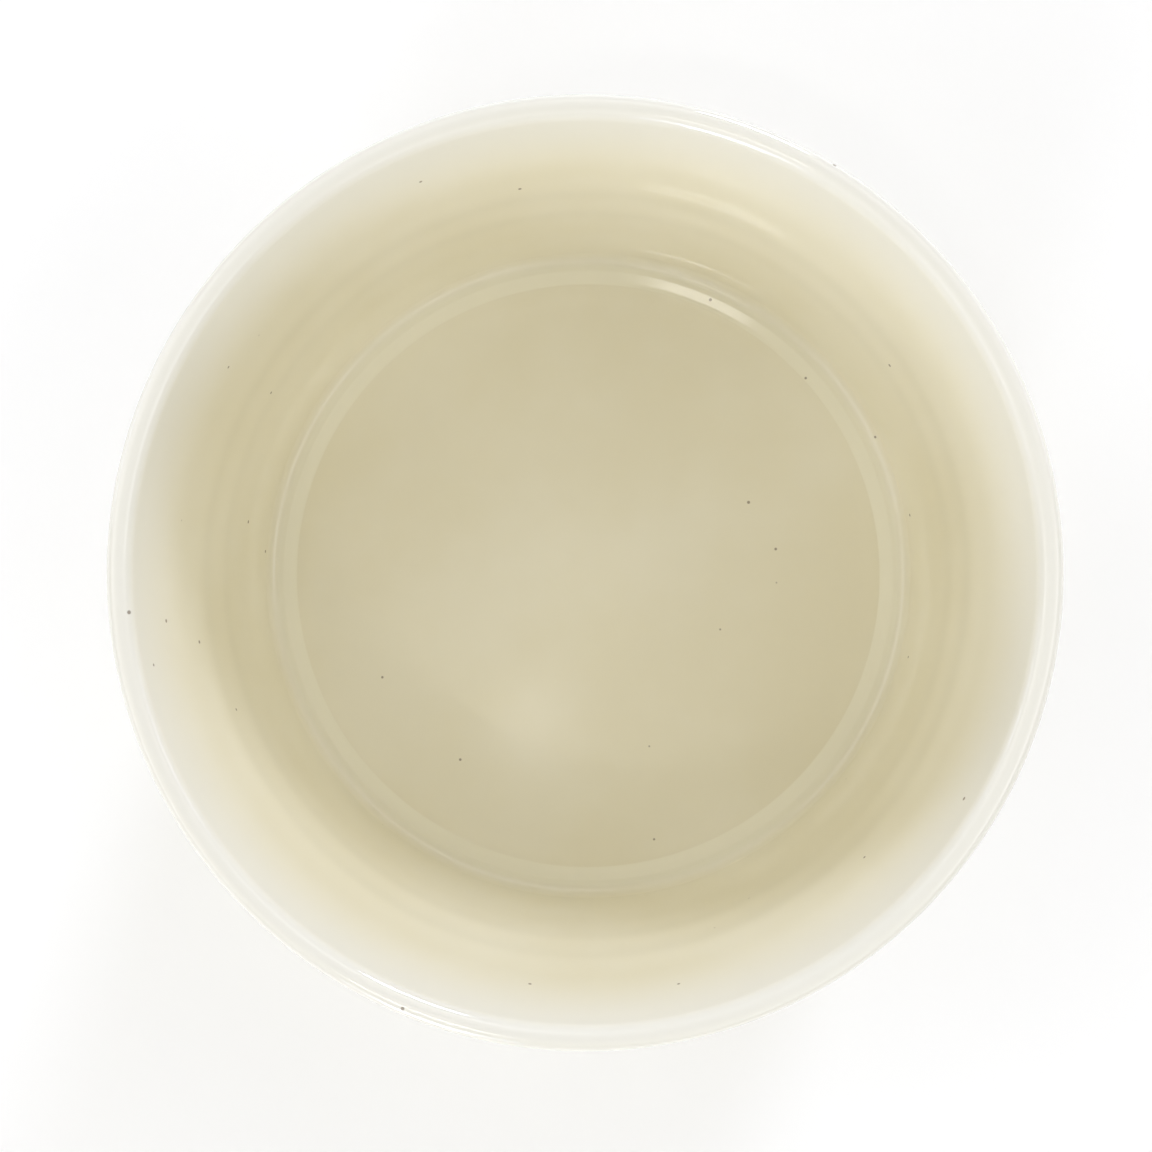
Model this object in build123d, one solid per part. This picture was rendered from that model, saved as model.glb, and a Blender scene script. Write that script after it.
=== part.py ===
from build123d import *
import math
import os

# Evaporating dish: a straight-sided, flat-bottomed laboratory dish of glazed porcelain.
# Millimetres, +Z up. The origin is on the resting plane, on the dish's own axis.
#
# The fired dish is one thrown and turned body with a coat of glaze fused onto it. The coat is in
# two parts, as it is applied: the inner glaze over the floor, the wall and half of the lip, and
# the outer glaze from the lip down to the glaze line. The heel and foot below that line are bare.

# Overall sizes, measured over the glaze
lip_diameter = 100.0
overall_height = 45.0

# Wall and bottom, measured over the glaze
wall_thickness = 2.8
wall_lean = 5.0            # degrees that the wall leans outwards from upright
bottom_thickness = 4.0     # from the recess under the dish to the edge of the floor

# Inside
floor_crown = 0.2          # rise of the floor from its edge to its centre
bevel_width = 3.8          # ring around the floor disc, out to where it would meet the wall
bevel_slope = 11.0         # degrees that this ring rises outwards
cove_radius = 1.6          # hollow curve from the ring into the wall

# Outside
heel_radius = 5.0          # round curve from the wall down to the foot ring
foot_height = 1.0          # depth of the recess that the foot ring surrounds
foot_width = 3.0           # foot ring, from its outside to the recess
foot_edge_radius = 0.4     # worn edges of the foot ring
recess_corner_radius = 0.7

# Glaze
glaze_thickness = 0.3
glaze_line_height = 1.6    # lower edge of the outer glaze above the resting plane

lean = math.radians(wall_lean)
slope = math.radians(bevel_slope)
floor_height = foot_height + bottom_thickness
bevel_rise = bevel_width * math.tan(slope)


def lip_centre():
    """Centre of the round lip, which touches the overall diameter and the overall height."""
    radius = wall_thickness / 2
    return Vector(lip_diameter / 2 - radius, overall_height - radius)


def down_the_wall(sideways, height):
    """Point at a given height on a line beside the wall, 'sideways' outwards from the lip centre."""
    start = lip_centre() + Vector(math.cos(lean), -math.sin(lean)) * sideways
    drop = start.Y - height
    return Vector(start.X - drop * math.tan(lean), height)


def wall_foot():
    """Corner where the bevelled ring and the inner wall would meet without the cove."""
    return down_the_wall(-wall_thickness / 2, floor_height + bevel_rise)


def cove_centre():
    """Centre of the hollow curve, which touches both the bevelled ring and the inner wall."""
    bevel_normal = Vector(-math.sin(slope), math.cos(slope))
    wall_normal = Vector(-math.cos(lean), math.sin(lean))
    between = (bevel_normal + wall_normal) * (1 / (1 + bevel_normal.dot(wall_normal)))
    return wall_foot() + between * cove_radius


def heel_centre():
    """Centre of the heel curve, which touches the outer wall and the plane of the recess."""
    return down_the_wall(wall_thickness / 2 - heel_radius, foot_height + heel_radius)


def inner_surface(depth):
    """Edges from the axis to the crown of the lip, 'depth' beneath the face of the glaze."""
    cove_arc_radius = cove_radius + depth
    sweep = 90 - bevel_slope - wall_lean
    cove_arc = CenterArc(cove_centre(), cove_arc_radius, bevel_slope - 90, sweep)
    lip_arc = CenterArc(lip_centre(), wall_thickness / 2 - depth, 180 - wall_lean, wall_lean - 90)
    floor_edge = wall_foot() + Vector(depth * math.tan(slope / 2) - bevel_width, -bevel_rise - depth)
    floor_centre = Vector(0, floor_height + floor_crown - depth)
    floor_arc = TangentArc(floor_centre, floor_edge, tangent=(1, 0))
    bevel = Line(floor_edge, cove_arc @ 0)
    return [floor_arc, bevel, cove_arc, Line(cove_arc @ 1, lip_arc @ 0), lip_arc]


def outer_surface(depth, end_angle):
    """Edges from the crown of the lip to a point on the heel, 'depth' beneath the glaze's face."""
    lip_arc = CenterArc(lip_centre(), wall_thickness / 2 - depth, 90, -90 - wall_lean)
    heel_arc = CenterArc(heel_centre(), heel_radius - depth, -wall_lean, end_angle + wall_lean)
    return [lip_arc, Line(lip_arc @ 1, heel_arc @ 0), heel_arc]


def glaze_line_angle():
    """Direction from the heel's centre to the lower edge of the outer glaze, in degrees."""
    below_centre = heel_centre().Y - glaze_line_height
    return -math.degrees(math.asin(below_centre / heel_radius))


def turned(outline):
    """Solid of revolution about Z, from the closed outline of half its section."""
    return revolve(Plane.XZ * make_face(outline), axis=Axis.Z)


def coat(face_edges, back_edges):
    """Glaze between its face and the body behind it, each a run of edges in the same order."""
    first = Line(back_edges[0] @ 0, face_edges[0] @ 0)
    last = Line(face_edges[-1] @ 1, back_edges[-1] @ 1)
    return turned([*face_edges, last, *back_edges, first])


def foot_outline(heel_end):
    """Foot ring and the recess inside it, from the heel to the axis, with its corners rounded."""
    outside = heel_end.X
    inside = outside - foot_width
    corners = [(outside, 0), (inside, 0), (inside, foot_height)]
    radii = [foot_edge_radius, foot_edge_radius, recess_corner_radius]
    return FilletPolyline(heel_end, *corners, (0, foot_height), radius=radii)


def porcelain_body():
    """The fired body, which the glaze covers everywhere but on the heel, foot and underside."""
    inside = inner_surface(glaze_thickness)
    outside = outer_surface(glaze_thickness, -90)
    foot = foot_outline(outside[-1] @ 1)
    return turned([*inside, *outside, foot, Line(foot @ 1, inside[0] @ 0)])


def inner_glaze():
    """Glaze over the floor, the cove, the inner wall and the inner half of the lip."""
    return coat(inner_surface(0), inner_surface(glaze_thickness))


def outer_glaze():
    """Glaze over the outer half of the lip and the outer wall, down to the glaze line."""
    end_angle = glaze_line_angle()
    return coat(outer_surface(0, end_angle), outer_surface(glaze_thickness, end_angle))


os.makedirs("parts", exist_ok=True)
export_step(porcelain_body(), "parts/porcelain_body.step")
export_step(inner_glaze(), "parts/inner_glaze.step")
export_step(outer_glaze(), "parts/outer_glaze.step")

floor_edge = inner_surface(0)[0] @ 1
print(f"floor disc radius {floor_edge.X:.2f}, height {floor_edge.Y:.2f}")
print(f"inside depth {overall_height - floor_edge.Y:.2f}")
print(f"foot ring outside radius {heel_centre().X:.2f}")
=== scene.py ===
# %% [markdown]
# # A glazed porcelain evaporating dish
# The dish is one fired clay body with a coat of glaze fused onto it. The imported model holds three
# solids for it: the bare body, the inner glaze and the outer glaze. This lesson keeps the body as
# it is, makes both coats of glaze again as fine turned meshes, and gives all three a real surface.

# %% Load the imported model
import math

import bpy
from mathutils import Matrix, Vector


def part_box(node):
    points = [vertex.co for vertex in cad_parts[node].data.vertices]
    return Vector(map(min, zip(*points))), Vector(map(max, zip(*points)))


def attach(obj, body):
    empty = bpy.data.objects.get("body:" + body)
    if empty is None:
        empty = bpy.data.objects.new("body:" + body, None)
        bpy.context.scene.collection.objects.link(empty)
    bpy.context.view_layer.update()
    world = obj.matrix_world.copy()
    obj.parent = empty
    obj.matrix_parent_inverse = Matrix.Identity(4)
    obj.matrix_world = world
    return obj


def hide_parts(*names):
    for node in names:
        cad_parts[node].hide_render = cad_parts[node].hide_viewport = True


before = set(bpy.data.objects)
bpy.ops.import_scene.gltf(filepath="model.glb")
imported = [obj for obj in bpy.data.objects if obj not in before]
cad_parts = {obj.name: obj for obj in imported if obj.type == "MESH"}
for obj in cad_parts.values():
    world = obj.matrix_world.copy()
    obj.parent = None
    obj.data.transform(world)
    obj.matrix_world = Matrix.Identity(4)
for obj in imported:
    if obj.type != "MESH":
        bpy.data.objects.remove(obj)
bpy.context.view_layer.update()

MM = 0.001
print("packed nodes:", sorted(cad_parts))

# %% [markdown]
# ## Sizes
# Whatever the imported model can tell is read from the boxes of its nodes, so that the coats of
# glaze fit the body. The crown of the lip is where the two coats meet, and the body's top lies one
# thickness of glaze below it. Only sizes that no box shows are written out here: how far the wall
# leans, and the shapes where it meets the floor and the foot.

# %% Sizes of the dish
outer_low, outer_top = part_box("outer_glaze")
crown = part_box("inner_glaze")[1]
LIP_RADIUS = outer_top.x
RIM_HEIGHT = outer_top.z
GLAZE = RIM_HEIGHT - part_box("porcelain_body")[1].z
HALF_WALL = LIP_RADIUS - crown.x
GLAZE_LINE = outer_low.z

LEAN = math.radians(5.0)
FLOOR_HEIGHT = 5.0 * MM
FLOOR_CROWN = 0.2 * MM
BEVEL_WIDTH = 3.8 * MM
BEVEL_SLOPE = math.radians(11.0)
COVE_RADIUS = 1.6 * MM
HEEL_RADIUS = 5.0 * MM
FOOT_HEIGHT = 1.0 * MM
print(f"lip radius {LIP_RADIUS / MM:.2f}, height {RIM_HEIGHT / MM:.2f}, glaze {GLAZE / MM:.2f} mm")

# %% [markdown]
# ## The curves of the section
# A turned shape is fully told by half of its section: a run of points from the axis outwards. The
# straight wall leans out a few degrees, and the lip is a half circle on top of it. Around the
# floor disc lies a ring that slopes up, and a hollow cove joins that ring to the wall. The heel
# does the same outside. All the centres follow from the lip's, so nothing is fitted by eye.

# %% Centres of the lip, cove and heel
lip_centre = Vector((LIP_RADIUS - HALF_WALL, RIM_HEIGHT - HALF_WALL))


def beside_wall(sideways, height):
    """Point at a height on a line beside the wall, 'sideways' outwards from the lip's centre."""
    start = lip_centre + Vector((math.cos(LEAN), -math.sin(LEAN))) * sideways
    return Vector((start.x - (start.y - height) * math.tan(LEAN), height))


def cove_at(corner, slope):
    """Centre of the cove that touches the inner wall and a slope, which meet at a corner."""
    slope_normal = Vector((-math.sin(slope), math.cos(slope)))
    wall_normal = Vector((-math.cos(LEAN), math.sin(LEAN)))
    between = (slope_normal + wall_normal) / (1 + slope_normal.dot(wall_normal))
    return corner + between * COVE_RADIUS


bevel_rise = BEVEL_WIDTH * math.tan(BEVEL_SLOPE)
wall_foot = beside_wall(-HALF_WALL, FLOOR_HEIGHT + bevel_rise)
floor_edge = wall_foot - Vector((BEVEL_WIDTH, bevel_rise))
heel_centre = beside_wall(HALF_WALL - HEEL_RADIUS, FOOT_HEIGHT + HEEL_RADIUS)
print(f"floor disc radius {floor_edge.x / MM:.2f} mm")

# %% [markdown]
# ## The ring around the floor
# Glaze runs while it is molten. It leaves the upper edge of the sloping ring and settles at the
# foot of the wall, so the fired ring has two parts: a ramp that eases out of the floor's crisp edge
# into an even slope, and a narrow, nearly level gutter outside it. The even slope matters, because
# a lamp mirrors in it as one clean bright arc.

# %% Ramp and gutter of the ring
RAMP_WIDTH = 1.9 * MM
RAMP_EASE = 0.75 * MM
RAMP_START = math.radians(5.0)
RAMP_SLOPE = math.radians(11.6)
GUTTER_SLOPE = math.radians(2.5)
RAMP_STEPS = 24


def ramp():
    """Points up the ramp, whose slope grows to its full value within the first RAMP_EASE."""
    stride = RAMP_WIDTH / RAMP_STEPS
    points = [floor_edge.copy()]
    for i in range(RAMP_STEPS):
        share = min(1, (i + 0.5) * stride / RAMP_EASE)
        slope = RAMP_START + (RAMP_SLOPE - RAMP_START) * share
        points.append(points[-1] + Vector((stride, stride * math.tan(slope))))
    return points


def gutter_corner(start):
    """Where the gutter, drawn on from the top of the ramp, would meet the inner wall."""
    wall_at_zero = beside_wall(-HALF_WALL, 0).x
    rise = start.y + (wall_at_zero - start.x) * math.tan(GUTTER_SLOPE)
    return beside_wall(-HALF_WALL, rise / (1 - math.tan(LEAN) * math.tan(GUTTER_SLOPE)))


print(f"ramp rises {(ramp()[-1].y - FLOOR_HEIGHT) / MM:.2f} mm")

# %% [markdown]
# ## Traces of the making
# The clay was shaped against a spinning mould, so the wall isn't a perfect cone. It carries soft
# rings where the shaping tool rested, less than a tenth of a millimetre high. They can't be seen
# as steps, but the glaze mirrors light, and each ring bends that mirror into an arc of its own.

# %% Soft rings on the inner wall
RINGS = [
    # height above the resting plane, rise, half-width; in millimetres
    (21.4, 0.070, 2.0),
    (27.4, 0.095, 2.2),
    (34.5, 0.040, 3.0),
]


def ring_relief(height):
    """How far the inner wall stands inwards of a straight cone at a height."""
    return sum(
        rise * MM * math.exp(-(((height / MM - middle) / width) ** 2))
        for middle, rise, width in RINGS
    )


# %% [markdown]
# ## Turning a section into a coat
# A potter's shape is a lathe's shape, so the natural tool is spin. A chain of points is drawn by
# extruding one vertex from point to point, and the chain is spun once about the dish's axis. The
# front of each coat is drawn finely because it is seen, and its back coarsely because it lies on
# the body. Front and back are one chain, so each coat is a closed solid from the start.

# %% Tools for turned pieces
SEGMENTS = 384             # steps of the spin, all the way round
SHARP_FROM = 40.0          # degrees between faces, above which an edge is drawn sharp
SAME_POINT = GLAZE / 1000  # points closer than this are one point


def arc(centre, radius, first, last, steps):
    """Points along an arc of the section, between two angles in degrees."""
    angles = [math.radians(first + (last - first) * i / steps) for i in range(steps + 1)]
    return [centre + Vector((math.cos(a), math.sin(a))) * radius for a in angles]


def along(start, end, steps):
    """Points along a straight stretch, both ends left out."""
    return [start.lerp(end, i / steps) for i in range(1, steps)]


def deselect_all():
    """Leave edit mode and clear the selection, which every operator acts on."""
    if bpy.context.object and bpy.context.object.mode != "OBJECT":
        bpy.ops.object.mode_set(mode="OBJECT")
    bpy.ops.object.select_all(action="DESELECT")


def draw_section(name, points):
    """An object in edit mode whose mesh is one chain of vertices through the points."""
    deselect_all()
    bpy.ops.mesh.primitive_plane_add(size=MM)
    piece = bpy.context.object
    piece.name = piece.data.name = name
    bpy.ops.object.mode_set(mode="EDIT")
    bpy.ops.mesh.select_all(action="SELECT")
    bpy.ops.mesh.merge(type="CENTER")
    bpy.ops.transform.translate(value=(points[0].x, 0, points[0].y))
    for before, after in zip(points, points[1:]):
        step = (after.x - before.x, 0, after.y - before.y)
        bpy.ops.mesh.extrude_region_move(TRANSFORM_OT_translate={"value": step})
    return piece


def spin_section(name, points, closed=False):
    """Turn a section about the dish's axis into a closed mesh with outward normals."""
    piece = draw_section(name, points + points[:1] if closed else points)
    bpy.ops.mesh.select_all(action="SELECT")
    bpy.ops.mesh.remove_doubles(threshold=SAME_POINT)
    bpy.ops.mesh.spin(steps=SEGMENTS, angle=math.tau, center=(0, 0, 0), axis=(0, 0, 1))
    bpy.ops.mesh.select_all(action="SELECT")
    bpy.ops.mesh.remove_doubles(threshold=SAME_POINT)
    bpy.ops.mesh.normals_make_consistent(inside=False)
    bpy.ops.object.mode_set(mode="OBJECT")
    bpy.ops.object.shade_smooth_by_angle(angle=math.radians(SHARP_FROM))
    mesh = piece.data
    print(f"{name}: {len(mesh.vertices)} vertices, {len(mesh.polygons)} faces")
    return piece


# %% [markdown]
# ## The inner glaze
# This is the surface that the dish is used for. From the axis outwards it has a gently crowned
# floor disc with a crisp edge, the ring with its ramp and gutter, a tight cove, the wall with its
# soft rings, and the inner half of the lip.

# %% Spin the inner glaze
EDGE_SUPPORT = GLAZE / 6   # how close to the floor's edge a point keeps that edge crisp


def floor_disc(edge, steps):
    """Points along the crowned floor, from the axis to one step short of its edge."""
    points = []
    for i in range(steps):
        share = i / steps
        points.append(Vector((edge.x * share, edge.y + FLOOR_CROWN * (1 - share**2))))
    return points


def wall_and_lip(depth, start, wall_steps, lip_steps):
    """Points up the inner wall from the top of the cove and over the inner half of the lip."""
    lip = arc(lip_centre, HALF_WALL - depth, 180 - math.degrees(LEAN), 90, lip_steps)
    return along(start, lip[0], wall_steps) + lip


def inner_face():
    """The face of the inner glaze, from the axis to the crown of the lip."""
    ring = ramp()
    corner = gutter_corner(ring[-1])
    first = math.degrees(GUTTER_SLOPE) - 90
    cove = arc(cove_at(corner, GUTTER_SLOPE), COVE_RADIUS, first, -math.degrees(LEAN), 18)
    gutter = along(ring[-1], cove[0], 8)
    rise = [p + Vector((-ring_relief(p.y), 0)) for p in wall_and_lip(0, cove[-1], 110, 14)]
    close_to_edge = floor_edge - Vector((EDGE_SUPPORT, 0))
    return floor_disc(close_to_edge, 30) + [close_to_edge] + ring + gutter + cove + rise


def inner_back():
    """The back of the inner glaze, which lies on the body."""
    edge = floor_edge + Vector((math.tan(BEVEL_SLOPE / 2), -1)) * GLAZE
    first = math.degrees(BEVEL_SLOPE) - 90
    centre = cove_at(wall_foot, BEVEL_SLOPE)
    cove = arc(centre, COVE_RADIUS + GLAZE, first, -math.degrees(LEAN), 6)
    return floor_disc(edge, 4) + [edge] + cove + wall_and_lip(GLAZE, cove[-1], 3, 4)


inner_coat = spin_section("inner_glaze_coat", inner_face() + inner_back()[::-1])
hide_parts("inner_glaze")
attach(inner_coat, "root")

# %% [markdown]
# ## The outer glaze
# The outside is dipped, so the coat runs from the crown of the lip down the wall and onto the
# heel. There it was sponged back before firing, which leaves a soft bead where the melt stopped.

# %% Spin the outer glaze
BEAD = 0.16 * MM
BEAD_WIDTH = 10.0          # degrees of the heel's arc
TIP_STEPS = 6
TIP_REACH = 0.7            # how far the rounded edge stands out, as a share of the glaze


def outer_face(depth, end_angle, fine):
    """Section from the crown of the lip to the heel, 'depth' beneath the face of the glaze."""
    lean = -math.degrees(LEAN)
    lip = arc(lip_centre, HALF_WALL - depth, 90, lean, 16 if fine else 4)
    heel = arc(heel_centre, HEEL_RADIUS - depth, lean, end_angle, 24 if fine else 6)
    return lip + along(lip[-1], heel[0], 80 if fine else 3) + heel


def with_bead(points, end_angle):
    """The face of the outer glaze, swollen into a bead next to its lower edge and rounded off."""
    bead_angle = end_angle + BEAD_WIDTH / 2
    shaped = []
    for p in points:
        arm = p - heel_centre
        away = math.degrees(math.atan2(arm.y, arm.x)) - bead_angle
        swell = BEAD * math.exp(-((away / (BEAD_WIDTH / 2)) ** 2)) if p.y < heel_centre.y else 0
        shaped.append(p + arm.normalized() * swell)
    tip = heel_centre + (shaped[-1] - heel_centre).normalized() * HEEL_RADIUS
    inwards = (heel_centre - tip).normalized()
    onwards = Vector((inwards.y, -inwards.x)) * GLAZE
    for i in range(1, TIP_STEPS):
        turn = math.radians(90 * i / TIP_STEPS)
        reach = onwards * math.sin(turn) * TIP_REACH
        shaped.append(tip + inwards * GLAZE * (1 - math.cos(turn)) + reach)
    return shaped


line_angle = -math.degrees(math.asin((heel_centre.y - GLAZE_LINE) / HEEL_RADIUS)) + BEAD_WIDTH
outer_section = with_bead(outer_face(0, line_angle, True), line_angle)
outer_section += outer_face(GLAZE, line_angle - BEAD_WIDTH / 2, False)[::-1]
outer_coat = spin_section("outer_glaze_coat", outer_section, closed=True)
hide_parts("outer_glaze")
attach(outer_coat, "root")

# %% [markdown]
# ## A hand-wiped glaze line
# A sponge never takes the glaze off at one even height. The lower edge of the coat is therefore
# slid up and down the heel's curve by a few slow waves of different lengths. Each vertex turns
# about the heel's centre, so the coat stays on the body all the way round.

# %% Let the glaze line wander
WAVES = [
    # waves around the dish, size in degrees of the heel's arc, start in radians
    (3, 1.6, 0.4),
    (7, 1.0, 2.1),
    (13, 0.6, 4.0),
    (29, 0.3, 1.2),
]


def wander(azimuth):
    """How many degrees of the heel's arc the glaze line lies above its mean at an azimuth."""
    return sum(size * math.sin(count * azimuth + start) for count, size, start in WAVES)


span = math.radians(-line_angle) - LEAN
moved = 0
for vertex in outer_coat.data.vertices:
    radius = math.hypot(vertex.co.x, vertex.co.y)
    arm = Vector((radius - heel_centre.x, vertex.co.z - heel_centre.y))
    angle = math.atan2(arm.y, arm.x)
    if vertex.co.z < heel_centre.y and angle < -LEAN:
        azimuth = math.atan2(vertex.co.y, vertex.co.x)
        share = min(1, (-LEAN - angle) / span)
        angle += math.radians(wander(azimuth)) * share**2
        new_radius = heel_centre.x + arm.length * math.cos(angle)
        height = heel_centre.y + arm.length * math.sin(angle)
        scale = new_radius / radius
        vertex.co = (vertex.co.x * scale, vertex.co.y * scale, height)
        moved += 1
print("vertices moved along the heel:", moved)

# %% [markdown]
# ## Uneven glaze
# Glaze never fires to one thickness. A Displace modifier with a soft cloud texture thins both
# coats by up to a few hundredths of a millimetre, and never thickens them, so the dish keeps its
# size. Highlights on the glaze then waver a little, which bump alone can't do in the mesh. A
# vertex group fades the effect out towards the lip, where the two coats have to meet.

# %% Thin the coats unevenly
UNEVEN_SPREAD = 16 * MM
UNEVEN_DEPTH = 0.03 * MM
EVEN_LIP = 3 * MM

clouds = bpy.data.textures.new("uneven_glaze", "CLOUDS")
clouds.noise_scale = UNEVEN_SPREAD
clouds.noise_depth = 1
for coat in (inner_coat, outer_coat):
    deselect_all()
    bpy.context.view_layer.objects.active = coat
    coat.select_set(True)
    below_lip = coat.vertex_groups.new(name="below_lip")
    for vertex in coat.data.vertices:
        below_lip.add([vertex.index], min(1, (RIM_HEIGHT - vertex.co.z) / EVEN_LIP), "REPLACE")
    thin = coat.modifiers.new("uneven_glaze", "DISPLACE")
    thin.vertex_group = below_lip.name
    thin.texture = clouds
    thin.texture_coords = "LOCAL"
    thin.mid_level = 1.0
    thin.strength = UNEVEN_DEPTH
    bpy.ops.object.modifier_apply(modifier=thin.name)
    coat.vertex_groups.clear()
    print(coat.name, "top at", round(max(v.co.z for v in coat.data.vertices) / MM, 3), "mm")

# %% [markdown]
# ## Effects that both finishes share
# Glaze and bare porcelain are made of the same clay, so they share some traits: a slow drift of
# colour, dark grains of iron, and places on the dish where a finish changes. Each trait is a node
# group, built once. A material then places it with values of its own. Every pattern reads Object
# coordinates, in metres, so its scale is real.

# %% Helpers for node groups
def new_group(name, inputs, outputs):
    """An empty shader node group with named sockets, and its own input and output nodes."""
    group = bpy.data.node_groups.new(name, "ShaderNodeTree")
    for label, kind, value in inputs:
        item = group.interface.new_socket(label, in_out="INPUT", socket_type=kind)
        if value is not None:
            item.default_value = value
    for label, kind in outputs:
        group.interface.new_socket(label, in_out="OUTPUT", socket_type=kind)
    return group, group.nodes.new("NodeGroupInput"), group.nodes.new("NodeGroupOutput")


def add_math(tree, operation, first, second=None):
    """A Math node fed by sockets or plain numbers; returns its output socket."""
    node = tree.nodes.new("ShaderNodeMath")
    node.operation = operation
    for socket, value in zip(node.inputs, (first, second)):
        if isinstance(value, (int, float)):
            socket.default_value = value
        elif value is not None:
            tree.links.new(value, socket)
    return node.outputs[0]


def smooth_step(tree, value, low, high, first, last):
    """A value eased from 'first' to 'last' while the input goes from 'low' to 'high'."""
    node = tree.nodes.new("ShaderNodeMapRange")
    node.interpolation_type = "SMOOTHSTEP"
    tree.links.new(value, node.inputs["Value"])
    for label, setting in zip(("From Min", "From Max", "To Min", "To Max"), (low, high, first, last)):
        if isinstance(setting, (int, float)):
            node.inputs[label].default_value = setting
        else:
            tree.links.new(setting, node.inputs[label])
    return node.outputs["Result"]


def mix_colours(tree, mask, first, last):
    """A colour mix; either colour is a socket or a plain (r, g, b)."""
    node = tree.nodes.new("ShaderNodeMix")
    node.data_type = "RGBA"
    tree.links.new(mask, node.inputs["Factor"])
    for label, colour in (("A", first), ("B", last)):
        socket = [s for s in node.inputs if s.name == label and s.type == "RGBA"][0]
        if isinstance(colour, tuple):
            socket.default_value = (*colour, 1)
        else:
            tree.links.new(colour, socket)
    return [s for s in node.outputs if s.type == "RGBA"][0]


# %% [markdown]
# ## Slow drift of colour
# Thick glaze looks deeper than thin glaze, and clay is never mixed evenly. Noise at two sizes
# drives a mix between a pale and a deep shade of the same colour. The shades lie close together,
# because the change should be felt and not seen as a pattern.

# %% Group: mottling
mottling, enter, leave = new_group(
    "mottling",
    [("Vector", "NodeSocketVector", None), ("Scale", "NodeSocketFloat", 40.0),
     ("Pale", "NodeSocketColor", None), ("Deep", "NodeSocketColor", None)],
    [("Colour", "NodeSocketColor")],
)
cloud = mottling.nodes.new("ShaderNodeTexNoise")
cloud.inputs["Detail"].default_value = 3.0
cloud.inputs["Roughness"].default_value = 0.55
mottling.links.new(enter.outputs["Vector"], cloud.inputs["Vector"])
mottling.links.new(enter.outputs["Scale"], cloud.inputs["Scale"])
share = smooth_step(mottling, cloud.outputs["Fac"], 0.32, 0.68, 0.0, 1.0)
shade = mix_colours(mottling, share, enter.outputs["Pale"], enter.outputs["Deep"])
mottling.links.new(shade, leave.inputs["Colour"])

# %% [markdown]
# ## Dark grains
# A few grains of iron burn out of the clay in the kiln and leave dark specks under a millimetre
# wide. Voronoi cells give each grain a scattered place in space. A speck shows where the surface
# cuts through the small ball around that place, so the specks come in different sizes.

# %% Group: grains
SPECK_CORE = 0.55          # share of a speck that is fully dark, inside its soft edge

grains, enter, leave = new_group(
    "grains",
    [("Vector", "NodeSocketVector", None), ("Spacing", "NodeSocketFloat", 0.007),
     ("Size", "NodeSocketFloat", 0.00025)],
    [("Mask", "NodeSocketFloat")],
)
cells = grains.nodes.new("ShaderNodeTexVoronoi")
cells.feature = "F1"
per_metre = add_math(grains, "DIVIDE", 1.0, enter.outputs["Spacing"])
grains.links.new(enter.outputs["Vector"], cells.inputs["Vector"])
grains.links.new(per_metre, cells.inputs["Scale"])
edge = add_math(grains, "MULTIPLY", enter.outputs["Size"], per_metre)
core = add_math(grains, "MULTIPLY", edge, SPECK_CORE)
speck = smooth_step(grains, cells.outputs["Distance"], core, edge, 1.0, 0.0)
grains.links.new(speck, leave.inputs["Mask"])

# %% [markdown]
# ## Places on the dish
# A turned dish is easy to address: every place is a distance from the axis and a height above the
# table. This group measures both, and a material turns them into soft-edged zones, such as the
# worn floor, the painted light on the lip and on the ring round the floor, or the grey foot.

# %% Group: place_on_dish
place_on_dish, enter, leave = new_group(
    "place_on_dish",
    [("Vector", "NodeSocketVector", None)],
    [("Radius", "NodeSocketFloat"), ("Height", "NodeSocketFloat")],
)
split = place_on_dish.nodes.new("ShaderNodeSeparateXYZ")
place_on_dish.links.new(enter.outputs["Vector"], split.inputs["Vector"])
squares = [add_math(place_on_dish, "MULTIPLY", split.outputs[i], split.outputs[i]) for i in (0, 1)]
radius = add_math(place_on_dish, "SQRT", add_math(place_on_dish, "ADD", *squares))
place_on_dish.links.new(radius, leave.inputs["Radius"])
place_on_dish.links.new(split.outputs[2], leave.inputs["Height"])
print("node groups:", [group.name for group in bpy.data.node_groups])

# %% [markdown]
# ## Short cuts for a material
# Both finishes are set up in the same few moves: make the material, place a shared group in it,
# read a noise, and raise a bump whose height is a real distance.

# %% Helpers for materials
def new_material(name):
    """A node material with its tree, its Principled shader and its Object coordinates."""
    material = bpy.data.materials.new(name)
    material.use_nodes = True
    tree = material.node_tree
    place = tree.nodes.new("ShaderNodeTexCoord").outputs["Object"]
    return material, tree, tree.nodes["Principled BSDF"], place


def use_group(tree, group, place, **values):
    """Place a node group in a material, fed by the coordinates and by plain values."""
    node = tree.nodes.new("ShaderNodeGroup")
    node.node_tree = group
    tree.links.new(place, node.inputs["Vector"])
    for label, value in values.items():
        node.inputs[label].default_value = (*value, 1) if isinstance(value, tuple) else value
    return node


def add_noise(tree, place, scale, detail):
    """A noise texture's value at a scale per metre."""
    node = tree.nodes.new("ShaderNodeTexNoise")
    node.inputs["Scale"].default_value = scale
    node.inputs["Detail"].default_value = detail
    tree.links.new(place, node.inputs["Vector"])
    return node.outputs["Fac"]


def add_bump(tree, shader, height, distance):
    """Bump from a height between 0 and 1 that stands for a distance in metres."""
    node = tree.nodes.new("ShaderNodeBump")
    node.inputs["Distance"].default_value = distance
    tree.links.new(height, node.inputs["Height"])
    tree.links.new(node.outputs["Normal"], shader.inputs["Normal"])
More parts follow.
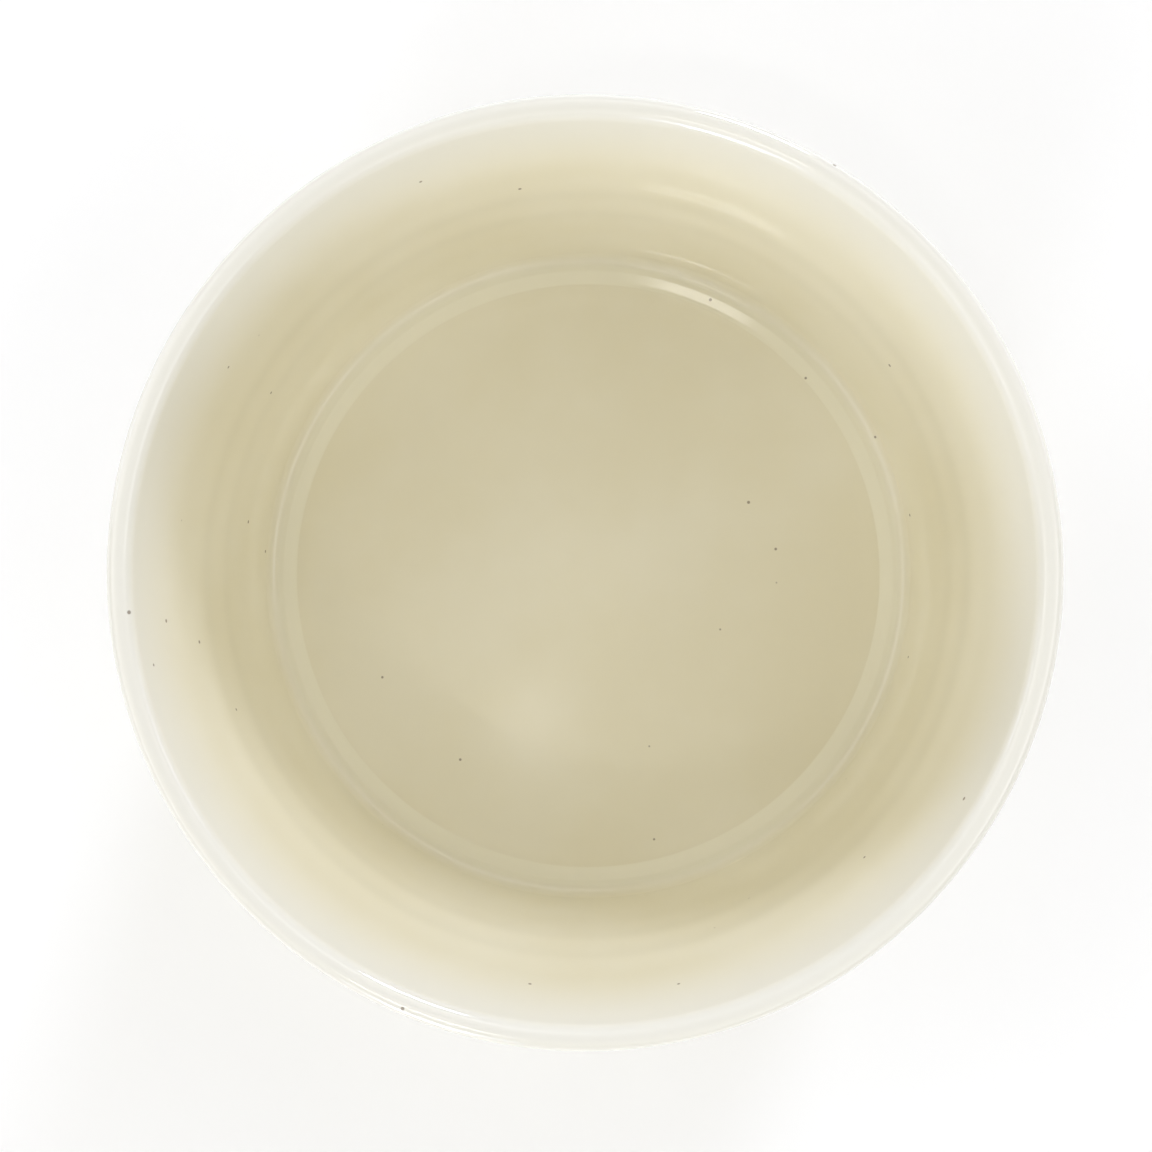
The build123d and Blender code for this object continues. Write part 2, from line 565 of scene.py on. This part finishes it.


# %% [markdown]
# ## Cream glaze
# The glaze is cream and clear as glass on top. On both coats its colour is painted paler over the
# upper wall and the lip, and it stays deeper below. That is painted light: it stands for the brighter
# light high on the wall, which fewer bounces inside the dish have tinted. Rods and spatulas have
# dulled the middle of the floor, which spreads a lamp's mirror image into a soft glow, while the
# ring and the wall are still sharp. Roughness does that work. The ring just outside the floor's
# crisp edge is painted a little paler too. That is painted light for the light its slope catches.
# The bump is the faint ripple of a fired glaze.

# %% Material: cream_glaze
GLAZE_PALE = (0.875, 0.830, 0.665)
GLAZE_DEEP = (0.850, 0.798, 0.615)
# Painted light: the paler colour of the upper wall and the lip.
GLAZE_LIP_PAINTED_LIGHT = (0.895, 0.878, 0.795)
# Painted light: the paler colour of the ring outside the floor's edge.
GLAZE_RAMP_PAINTED_LIGHT = (0.914, 0.875, 0.704)
GLAZE_GRAIN = (0.20, 0.15, 0.10)
PAINTED_LIGHT_FROM = RIM_HEIGHT - 14 * MM
SPECK_STRENGTH = 0.75
FRESH, WORN = 0.06, 0.16
WORN_TO, FRESH_FROM = 26 * MM, 31 * MM
RAMP_END = floor_edge.x + RAMP_WIDTH

glaze, tree, shader, place = new_material("cream_glaze_surface")
colour = use_group(tree, mottling, place, Scale=45.0, Pale=GLAZE_PALE, Deep=GLAZE_DEEP)
spot = use_group(tree, place_on_dish, place)
# Painted light: the colour turns paler over the top 14 mm, up to the crown of the lip.
lip_light_mask = smooth_step(tree, spot.outputs["Height"], PAINTED_LIGHT_FROM, RIM_HEIGHT, 0.0, 1.0)
with_lip_light = mix_colours(tree, lip_light_mask, colour.outputs["Colour"], GLAZE_LIP_PAINTED_LIGHT)
# Painted light: a paler ring just outside the floor's crisp edge, which fades out past the ramp.
past_edge = smooth_step(
    tree, spot.outputs["Radius"], floor_edge.x, floor_edge.x + 0.25 * MM, 0.0, 1.0
)
on_ramp = smooth_step(
    tree, spot.outputs["Radius"], RAMP_END + 0.5 * MM, RAMP_END + 1.3 * MM, past_edge, 0.0
)
inside = smooth_step(
    tree, spot.outputs["Height"], FLOOR_HEIGHT - 0.8 * MM, FLOOR_HEIGHT - 0.2 * MM, 0.0, 1.0
)
ramp_light_mask = add_math(tree, "MULTIPLY", on_ramp, inside)
with_ramp_light = mix_colours(tree, ramp_light_mask, with_lip_light, GLAZE_RAMP_PAINTED_LIGHT)
specks = use_group(tree, grains, place, Spacing=6.5 * MM, Size=0.27 * MM)
speck_mask = add_math(tree, "MULTIPLY", specks.outputs["Mask"], SPECK_STRENGTH)
speckled = mix_colours(tree, speck_mask, with_ramp_light, GLAZE_GRAIN)
tree.links.new(speckled, shader.inputs["Base Color"])
wear = smooth_step(tree, spot.outputs["Radius"], WORN_TO, FRESH_FROM, WORN, FRESH)
patchy = smooth_step(tree, add_noise(tree, place, 130.0, 4.0), 0.3, 0.7, 0.85, 1.15)
tree.links.new(add_math(tree, "MULTIPLY", wear, patchy), shader.inputs["Roughness"])
shader.inputs["IOR"].default_value = 1.55
add_bump(tree, shader, add_noise(tree, place, 700.0, 2.0), 0.0016 * MM)
for coat in (inner_coat, outer_coat):
    coat.data.materials.append(glaze)
print("glaze nodes:", len(tree.nodes))

# %% [markdown]
# ## Bare porcelain
# Below the glaze line the body shows: matt, a little gritty, and creamier than the glaze. The
# ground flat of the foot ring has slid over benches and gauzes, so it is rubbed grey in patches.
# The rub only reaches half a millimetre up, where the height above the table fades it out.

# %% Material: bisque_porcelain
BISQUE_PALE = (0.80, 0.765, 0.685)
BISQUE_DEEP = (0.745, 0.70, 0.61)
BISQUE_GRAIN = (0.22, 0.17, 0.12)
RUB = (0.42, 0.405, 0.38)

bisque, tree, shader, place = new_material("bisque_porcelain_surface")
colour = use_group(tree, mottling, place, Scale=70.0, Pale=BISQUE_PALE, Deep=BISQUE_DEEP)
specks = use_group(tree, grains, place, Spacing=3.2 * MM, Size=0.22 * MM)
speckled = mix_colours(tree, specks.outputs["Mask"], colour.outputs["Colour"], BISQUE_GRAIN)
spot = use_group(tree, place_on_dish, place)
low_down = smooth_step(tree, spot.outputs["Height"], 0.05 * MM, 0.5 * MM, 1.0, 0.0)
streaks = smooth_step(tree, add_noise(tree, place, 260.0, 5.0), 0.42, 0.62, 0.15, 0.9)
rubbed = add_math(tree, "MULTIPLY", low_down, streaks)
tree.links.new(mix_colours(tree, rubbed, speckled, RUB), shader.inputs["Base Color"])
grit = add_noise(tree, place, 2600.0, 3.0)
tree.links.new(smooth_step(tree, grit, 0.3, 0.7, 0.68, 0.9), shader.inputs["Roughness"])
shader.inputs["IOR"].default_value = 1.5
add_bump(tree, shader, grit, 0.03 * MM)
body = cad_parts["porcelain_body"]
body.data.materials.clear()
body.data.materials.append(bisque)
print("bisque nodes:", len(tree.nodes))

# %% [markdown]
# ## The table
# The dish stands on a plain pale surface, which is staging and no part of it. A large plane with a
# matt near-white paint, faintly lit from within like a light table, sends soft light back up.

# %% Floor
FLOOR_SIZE = 6.0
FLOOR_GLOW = 0.075

bpy.ops.mesh.primitive_plane_add(size=FLOOR_SIZE)
ground = bpy.context.object
ground.name = "studio_floor"
paint, tree, shader, place = new_material("studio_floor_paint")
shade = use_group(
    tree, mottling, place, Scale=3.0, Pale=(0.94, 0.94, 0.94), Deep=(0.92, 0.92, 0.92)
)
tree.links.new(shade.outputs["Colour"], shader.inputs["Base Color"])
shader.inputs["Roughness"].default_value = 0.9
shader.inputs["Emission Color"].default_value = (1, 1, 1, 1)
shader.inputs["Emission Strength"].default_value = FLOOR_GLOW
ground.data.materials.append(paint)
print("floor:", ground.name)

# %% [markdown]
# ## The camera
# The view is from straight above and quite close, so that the lip looks much wider than the floor
# and the whole inside of the wall shows. The eye stands a little off the axis, and the top of the
# picture is the dish's +Y side.

# %% Camera
EYE_HEIGHT = 160 * MM
EYE = Vector((2.57 * MM, -1.7 * MM, FLOOR_HEIGHT + EYE_HEIGHT))
TARGET = Vector((-1.43 * MM, -0.15 * MM, FLOOR_HEIGHT))
LENS = 36.25               # millimetres, as a lens is named, on a sensor 36 mm wide

camera_data = bpy.data.cameras.new("camera")
camera = bpy.data.objects.new("camera", camera_data)
bpy.context.scene.collection.objects.link(camera)
camera_data.sensor_width = 36
camera_data.lens = LENS
camera_data.clip_start = MM
forward = (TARGET - EYE).normalized()
right = forward.cross(Vector((0, 1, 0))).normalized()
upwards = right.cross(forward)
turn = Matrix((right, upwards, -forward)).transposed().to_4x4()
camera.matrix_world = Matrix.Translation(EYE) @ turn
bpy.context.scene.camera = camera
print("camera is", round(EYE_HEIGHT / MM), "mm above the dish's floor")

# %% [markdown]
# ## Studio light
# The light comes from low and middle heights and hardly from straight above, because whoever
# looks into a dish shades it. Two low lamps face each other across the dish and light the wall
# opposite them, wide soft boxes fill in higher up, and two far lamps at the ceiling make the
# bright arcs and the soft glow on the floor. A lamp's power is worked out from how bright its face
# should look, so that moving it or changing its size doesn't change that.

# %% Lamps
NEAR, CEILING = 2.0, 6.0   # metres from the dish


def place_lamp(name, azimuth, elevation, width, height, brightness, colour, distance):
    """A lamp facing the dish; angles in degrees, size in metres, as bright as its face looks."""
    data = bpy.data.lights.new(name, "AREA")
    data.shape = "ELLIPSE"
    data.size = width
    data.size_y = height
    data.energy = brightness * math.pi * math.pi * width * height / 4
    data.color = colour
    lamp = bpy.data.objects.new(name, data)
    bpy.context.scene.collection.objects.link(lamp)
    a, e = math.radians(azimuth), math.radians(elevation)
    direction = Vector((math.cos(a) * math.cos(e), math.sin(a) * math.cos(e), math.sin(e)))
    sideways = Vector((-math.sin(a), math.cos(a), 0))
    turn = Matrix((sideways, direction.cross(sideways), direction)).transposed().to_4x4()
    spot = Vector((0, 0, FLOOR_HEIGHT)) + direction * distance
    lamp.matrix_world = Matrix.Translation(spot) @ turn
    lamp.visible_camera = False


WARM, PLAIN, COOL = (1.0, 0.98, 0.95), (0.96, 1.0, 1.08), (0.91, 0.98, 1.22)
LAMPS = [
    # name, azimuth, elevation, width, height, brightness, colour, distance
    ("low_window", 70, 18, 0.50, 0.36, 27.5, COOL, NEAR),
    ("low_window_opposite", 250, 11, 0.42, 0.30, 18.0, PLAIN, NEAR),
    ("window_above_opposite", 250, 20, 0.80, 0.40, 6.0, COOL, NEAR),
    ("low_panel_right", 25, 12, 1.00, 0.30, 3.4, COOL, NEAR),
    ("low_panel_left", 160, 12, 1.00, 0.30, 4.4, COOL, NEAR),
    ("panel_front_left", 205, 29, 1.20, 0.40, 2.5, PLAIN, NEAR),
    ("panel_front_right", 295, 29, 1.20, 0.40, 1.7, PLAIN, NEAR),
    ("soft_box_left", 160, 42, 1.60, 0.60, 1.2, PLAIN, NEAR),
    ("soft_box_right", 340, 42, 1.60, 0.60, 1.3, PLAIN, NEAR),
    ("soft_box_back", 70, 42, 1.60, 0.60, 0.75, PLAIN, NEAR),
    ("ceiling_lamp", 240, 81.8, 0.335, 0.335, 4.1, WARM, CEILING),
    ("ceiling_strip", 247.7, 59.2, 1.3, 0.15, 24.0, WARM, CEILING),
]
for row in LAMPS:
    place_lamp(*row)

# %% [markdown]
# ## The room around
# The room itself is a soft sky. Its brightness depends on height alone: pale near the floor, dim
# behind the low lamps, brightest halfway up, and dark overhead, where the onlooker is. A colour
# ramp on the direction's height says all of that in a few stops.

# %% World
SKY = [
    # height of the direction, from 0 at the horizon to 1 straight up; brightness
    (0.00, 0.62),
    (0.22, 0.55),
    (0.32, 0.08),
    (0.46, 0.08),
    (0.54, 1.20),
    (0.70, 1.20),
    (0.76, 0.73),
    (0.86, 0.70),
    (0.92, 0.28),
    (1.00, 0.26),
]
SKY_STRENGTH = 1.2
SKY_TINT = (1.0, 0.97, 0.90)

world = bpy.data.worlds.new("soft_room")
bpy.context.scene.world = world
world.use_nodes = True
tree = world.node_tree
background = tree.nodes["Background"]
split = tree.nodes.new("ShaderNodeSeparateXYZ")
tree.links.new(tree.nodes.new("ShaderNodeTexCoord").outputs["Generated"], split.inputs["Vector"])
by_height = tree.nodes.new("ShaderNodeValToRGB")
stops = by_height.color_ramp.elements
while len(stops) < len(SKY):
    stops.new(0.5)
for stop, (height, brightness) in zip(stops, SKY):
    stop.position = height
    stop.color = [tint * brightness / SKY_STRENGTH for tint in SKY_TINT] + [1]
tree.links.new(split.outputs["Z"], by_height.inputs["Fac"])
tree.links.new(by_height.outputs["Color"], background.inputs["Color"])
background.inputs["Strength"].default_value = SKY_STRENGTH
bpy.context.scene.view_settings.view_transform = "Standard"
print("sky stops:", len(stops))
